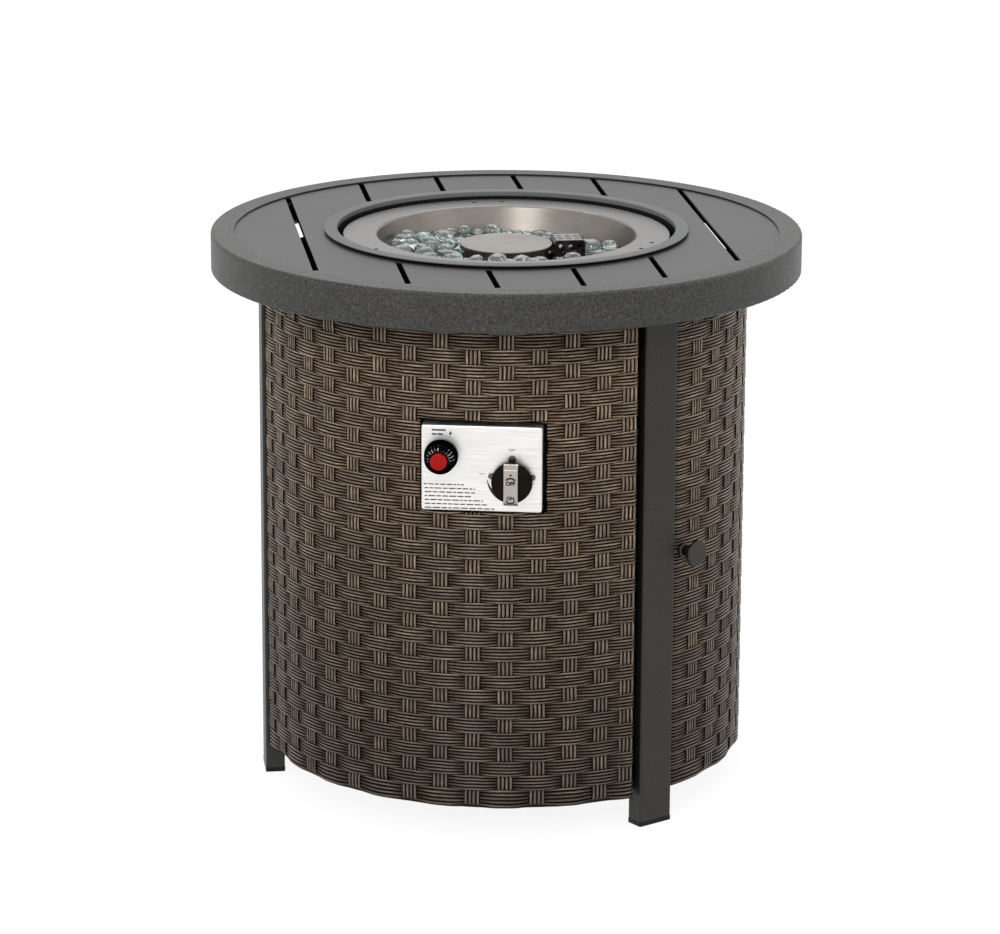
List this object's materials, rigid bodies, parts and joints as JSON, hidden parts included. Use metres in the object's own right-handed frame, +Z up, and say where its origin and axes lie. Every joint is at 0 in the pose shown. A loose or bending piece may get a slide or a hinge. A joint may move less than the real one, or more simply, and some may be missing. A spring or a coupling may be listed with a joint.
{
  "type": "fire pit table",
  "caption": "Round gas fire pit table: grey slotted top with a steel burner bowl of fire glass, wicker drum body on three legs, control plate and a hinged door.",
  "frame": {"origin": "on the floor, under the centre of the bowl", "axes": "+Z up through the bowl; the slots in the top run along Y; the control plate faces -Y and a little -X, and the door faces +X"},
  "size_m": [0.6096, 0.6096, 0.5791],
  "materials": {
    "top_paint": "textured powder coat, grey",
    "leg_paint": "hammered powder coat, dark grey",
    "frame_paint": "satin powder coat, dark",
    "plate_steel": "brushed, bright",
    "weave": "ribbed resin wicker strand, brown",
    "stainless": "brushed",
    "zinc_steel": "zinc plated",
    "cast_aluminium": "as cast",
    "brass": "machined",
    "copper": "drawn copper",
    "ceramic": "glazed ceramic",
    "lead_rubber": "silicone sleeve",
    "black_plastic": "moulded, satin",
    "red_plastic": "moulded, gloss",
    "battery": "plain sleeve, no print",
    "plated": "satin chrome plate",
    "knob_metal": "satin",
    "fire_glass": "clear tumbled beads"
  },
  "bodies": {
    "table": {"air_mixer": "cast_aluminium", "back_panel_frame": "frame_paint", "back_panel_weave": "weave", "base_frame": "frame_paint", "burner_base": "stainless", "burner_bowl": "stainless", "burner_cap": "stainless", "burner_nut": "brass", "centre_ring": "top_paint", "control_plate": "plate_steel", "control_plate_screws": "zinc_steel", "deck_panel": "top_paint", "fire_glass": "fire_glass", "foot_front": "black_plastic", "foot_left": "black_plastic", "foot_rear": "black_plastic", "front_panel_frame": "frame_paint", "front_panel_weave": "weave", "gas_inlet": "brass", "gas_orifice": "brass", "gas_pipe": "cast_aluminium", "gas_valve": "cast_aluminium", "glass_bed": "fire_glass", "heat_shield": "zinc_steel", "heat_shield_hangers": "zinc_steel", "igniter_battery": "battery", "igniter_body": "black_plastic", "igniter_cap": "black_plastic", "igniter_lead": "lead_rubber", "igniter_nut": "black_plastic", "leg_bolts": "zinc_steel", "leg_front": "leg_paint", "leg_left": "leg_paint", "leg_rear": "leg_paint", "magnet_catch": "black_plastic", "pilot_bracket": "stainless", "pilot_shield": "stainless", "pivot_bracket_lower": "leg_paint", "pivot_bracket_upper": "leg_paint", "pivot_pins": "zinc_steel", "rim_band": "top_paint", "spark_electrode": "ceramic", "tank_ring": "zinc_steel", "tank_tray": "frame_paint", "thermocouple": "copper", "thrust_washer": "black_plastic", "top_frame": "frame_paint", "valve_rear_cap": "cast_aluminium", "valve_screws": "plated"},
    "door": {"door_frame": "frame_paint", "door_weave": "weave", "door_knob": "knob_metal", "door_knob_screw": "zinc_steel", "strike_plate": "zinc_steel"},
    "valve_rotor": {"valve_rotor": "brass"},
    "gas_knob": {"valve_stem": "brass", "control_knob": "black_plastic", "knob_handle": "plated"},
    "igniter_button": {"igniter_button": "red_plastic"}
  },
  "joints": [
    {"name": "door_hinge", "type": "hinge", "parent": "table", "child": "door", "pos_m": [0.15421, 0.18909, 0.28], "axis": [0, 0, 1], "range_deg": [0, 100]},
    {"name": "gas_knob_turn", "type": "hinge", "parent": "table", "child": "valve_rotor", "pos_m": [-0.02091, -0.23106, 0.376], "axis": [-0.2198, -0.9755, 0], "range_deg": [0, 180]},
    {"name": "gas_knob_push", "type": "slide", "parent": "valve_rotor", "child": "gas_knob", "axis": [0.2198, 0.9755, 0], "range_m": [0, 0.003], "stiffness_N_per_m": 1200, "springref_m": -0.001},
    {"name": "igniter_press", "type": "slide", "parent": "table", "child": "igniter_button", "axis": [0.2198, 0.9755, 0], "range_m": [0, 0.004], "stiffness_N_per_m": 900, "springref_m": -0.001}
  ]
}
